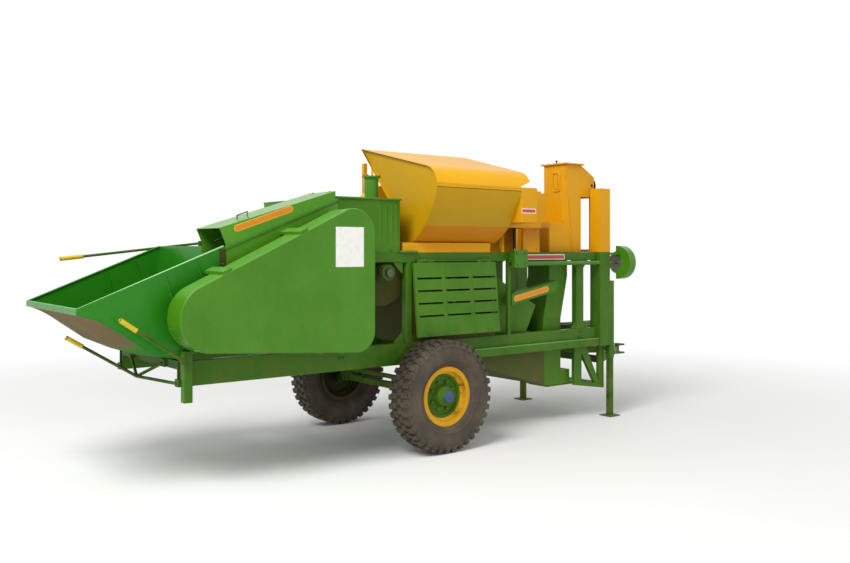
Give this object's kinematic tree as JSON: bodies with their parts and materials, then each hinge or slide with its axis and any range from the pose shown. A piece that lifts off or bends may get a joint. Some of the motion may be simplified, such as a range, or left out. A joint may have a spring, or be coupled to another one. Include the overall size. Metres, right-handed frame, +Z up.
{
  "type": "multicrop thresher",
  "caption": "Towed multicrop thresher with feed hopper and lidded channel, threshing drum, fan box with louvred doors, chaff hood, grain elevator, drive shafts, two wheels and a drawbar.",
  "frame": {"origin": "on the ground, below the middle of the machine's length and width", "axes": "+X forward to the hitch, +Y to the machine's left, +Z up"},
  "size_m": [5.89, 1.74, 2.469],
  "materials": {
    "green_paint": "gloss",
    "yellow_paint": "gloss",
    "tyre_rubber": "dusty",
    "rim_yellow": "satin",
    "disc_green": "satin",
    "bare_steel": "worn",
    "black_paint": "satin",
    "galvanised": "matte"
  },
  "bodies": {
    "frame": {"chassis_rail_right": "green_paint", "chassis_rail_left": "green_paint", "chassis_cross_members": "green_paint", "axle_beam": "green_paint", "front_subframe": "green_paint", "drawbar": "green_paint", "pto_guard": "green_paint", "upper_rails": "green_paint", "deck_cross_members": "green_paint", "side_posts": "green_paint", "front_columns": "green_paint", "front_legs": "green_paint", "front_leg_sleeves": "green_paint", "rear_leg": "green_paint", "feed_hopper": "green_paint", "feed_channel": "green_paint", "feed_conveyor": "galvanised", "belt_guard": "green_paint", "guard_brackets": "green_paint", "control_levers": "green_paint", "drum_casing": "green_paint", "casing_cover": "green_paint", "chaff_stub": "green_paint", "fan_housing": "green_paint", "grain_pan": "green_paint", "sieve_box": "green_paint", "transfer_duct": "yellow_paint", "separator_base": "yellow_paint", "separator_box": "yellow_paint", "chaff_hood": "yellow_paint", "left_housing": "yellow_paint", "front_bulkhead": "yellow_paint", "elevator_boot": "green_paint", "elevator_leg": "green_paint", "elevator_tower": "yellow_paint", "elevator_head": "yellow_paint", "drive_tube": "green_paint", "pulley_guard": "green_paint", "pto_bearings": "green_paint"},
    "right_wheel": {"right_tyre": "tyre_rubber", "right_rim": "rim_yellow", "right_disc": "disc_green"},
    "left_wheel": {"left_tyre": "tyre_rubber", "left_rim": "rim_yellow", "left_disc": "disc_green"},
    "drum": {"drum_rotor": "bare_steel", "drum_pulleys": "black_paint"},
    "fan": {"fan_rotor": "bare_steel"},
    "side_drive": {"drive_shaft": "bare_steel"},
    "head_shaft": {"head_pulley": "black_paint"},
    "input_shaft": {"pto_shaft": "bare_steel"},
    "door_right": {"louvre_door_right": "green_paint"},
    "door_left": {"louvre_door_left": "green_paint"},
    "lid": {"feeder_lid": "green_paint"}
  },
  "joints": [
    {"name": "right_wheel_spin", "type": "hinge", "parent": "frame", "child": "right_wheel", "pos_m": [-0.19, -0.75, 0.445], "axis": [0, 1, 0], "continuous": true},
    {"name": "left_wheel_spin", "type": "hinge", "parent": "frame", "child": "left_wheel", "pos_m": [-0.19, 0.75, 0.445], "axis": [0, 1, 0], "continuous": true},
    {"name": "drum_spin", "type": "hinge", "parent": "frame", "child": "drum", "pos_m": [-0.605, 0, 1.42], "axis": [0, 1, 0], "continuous": true},
    {"name": "fan_spin", "type": "hinge", "parent": "frame", "child": "fan", "pos_m": [0.095, 0, 1.18], "axis": [0, 1, 0], "continuous": true},
    {"name": "side_shaft_spin", "type": "hinge", "parent": "frame", "child": "side_drive", "pos_m": [1.495, -0.601, 1.475], "axis": [1, 0, 0], "continuous": true},
    {"name": "head_shaft_spin", "type": "hinge", "parent": "frame", "child": "head_shaft", "pos_m": [1.9, -0.35, 2.214], "axis": [0, 1, 0], "continuous": true},
    {"name": "input_shaft_spin", "type": "hinge", "parent": "frame", "child": "input_shaft", "pos_m": [2.095, 0, 0.765], "axis": [1, 0, 0], "continuous": true},
    {"name": "right_door_hinge", "type": "hinge", "parent": "frame", "child": "door_right", "pos_m": [0.089, -0.598, 1.51], "axis": [1, 0, 0], "range_deg": [-90, 0]},
    {"name": "left_door_hinge", "type": "hinge", "parent": "frame", "child": "door_left", "pos_m": [0.089, 0.598, 1.51], "axis": [1, 0, 0], "range_deg": [0, 90]},
    {"name": "feeder_lid_hinge", "type": "hinge", "parent": "frame", "child": "lid", "pos_m": [-1.053, -0.39, 2.014], "axis": [0, 1, 0], "range_deg": [0, 70]}
  ]
}
